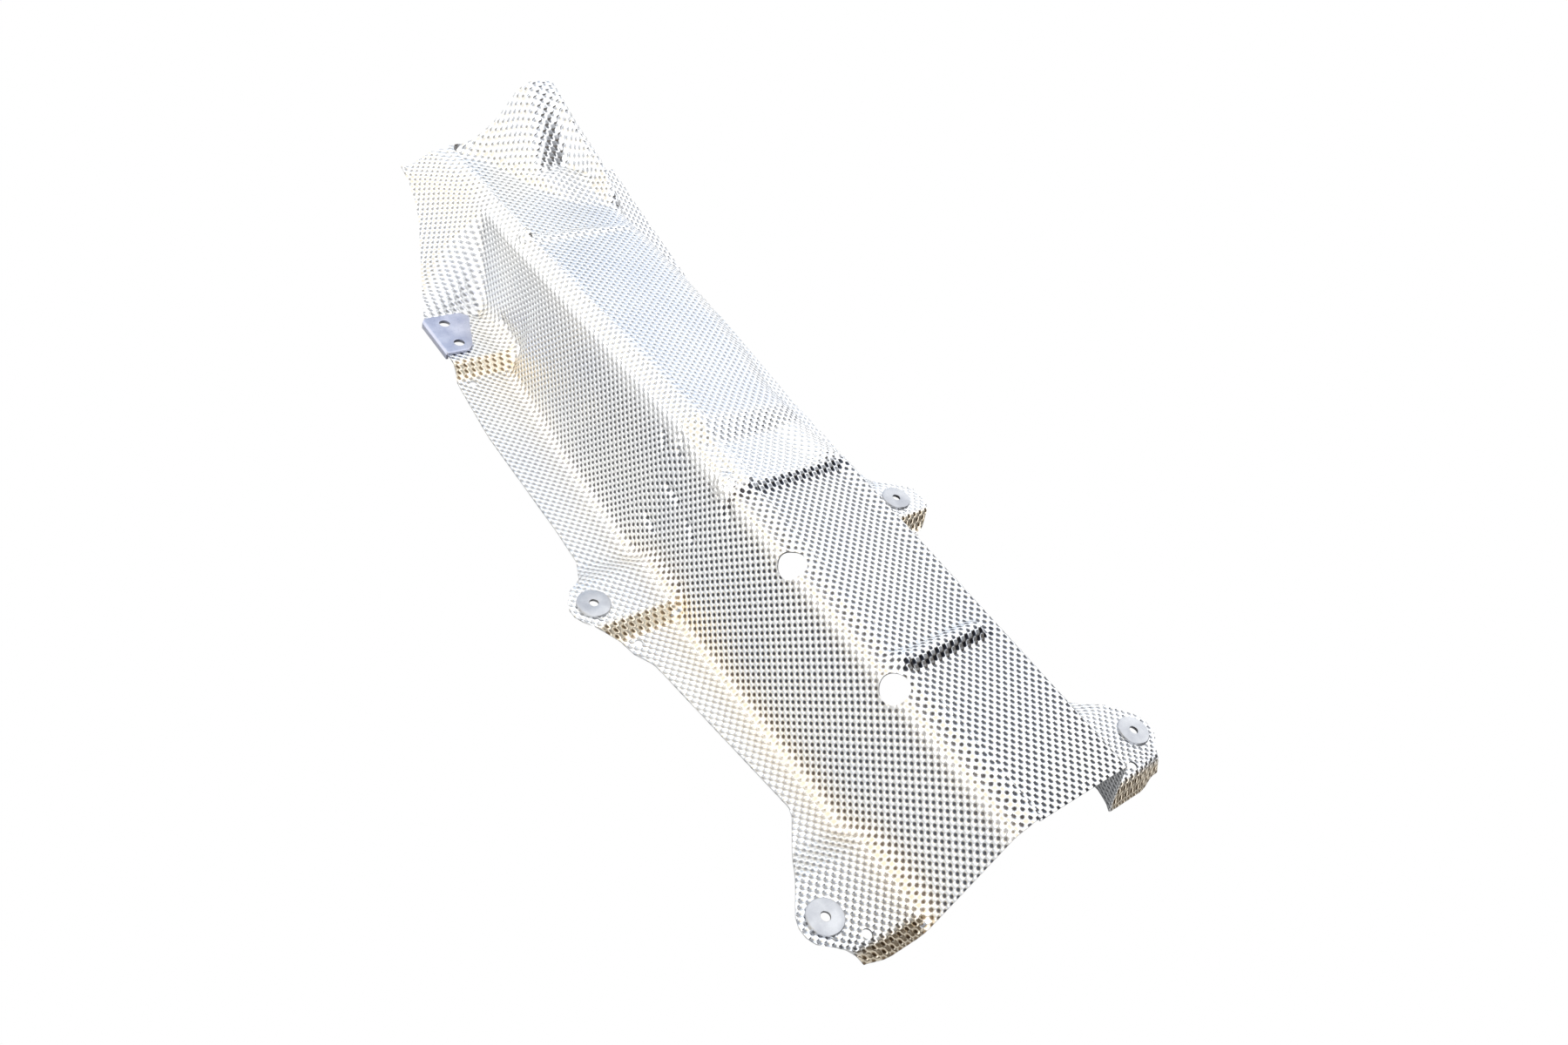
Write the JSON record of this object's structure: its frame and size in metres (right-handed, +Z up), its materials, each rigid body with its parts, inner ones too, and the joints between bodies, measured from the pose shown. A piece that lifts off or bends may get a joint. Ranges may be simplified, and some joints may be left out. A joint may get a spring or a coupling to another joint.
{
  "type": "exhaust tunnel heat shield",
  "caption": "Long hat-section tunnel heat shield pressed from embossed aluminium sheet, with raised ears, a stepped top, a cross bead and one flared, humped end.",
  "frame": {"origin": "under the middle of the part, on the plane of the flange undersides", "axes": "+X along the tunnel from the plain end to the flared end, +Y towards the side with the folded plate, +Z up, away from the flanges"},
  "size_m": [0.779, 0.342, 0.1563],
  "materials": {
    "embossed_sheet": "bright, embossed all over with a fine square lattice of round dimples",
    "washer": "zinc plated, smooth",
    "plate": "zinc plated, smooth"
  },
  "bodies": {
    "root": {"shield": "embossed_sheet", "washer_front_left": "washer", "washer_front_right": "washer", "washer_mid_left": "washer", "washer_mid_right": "washer", "rear_plate": "plate"}
  },
  "joints": []
}
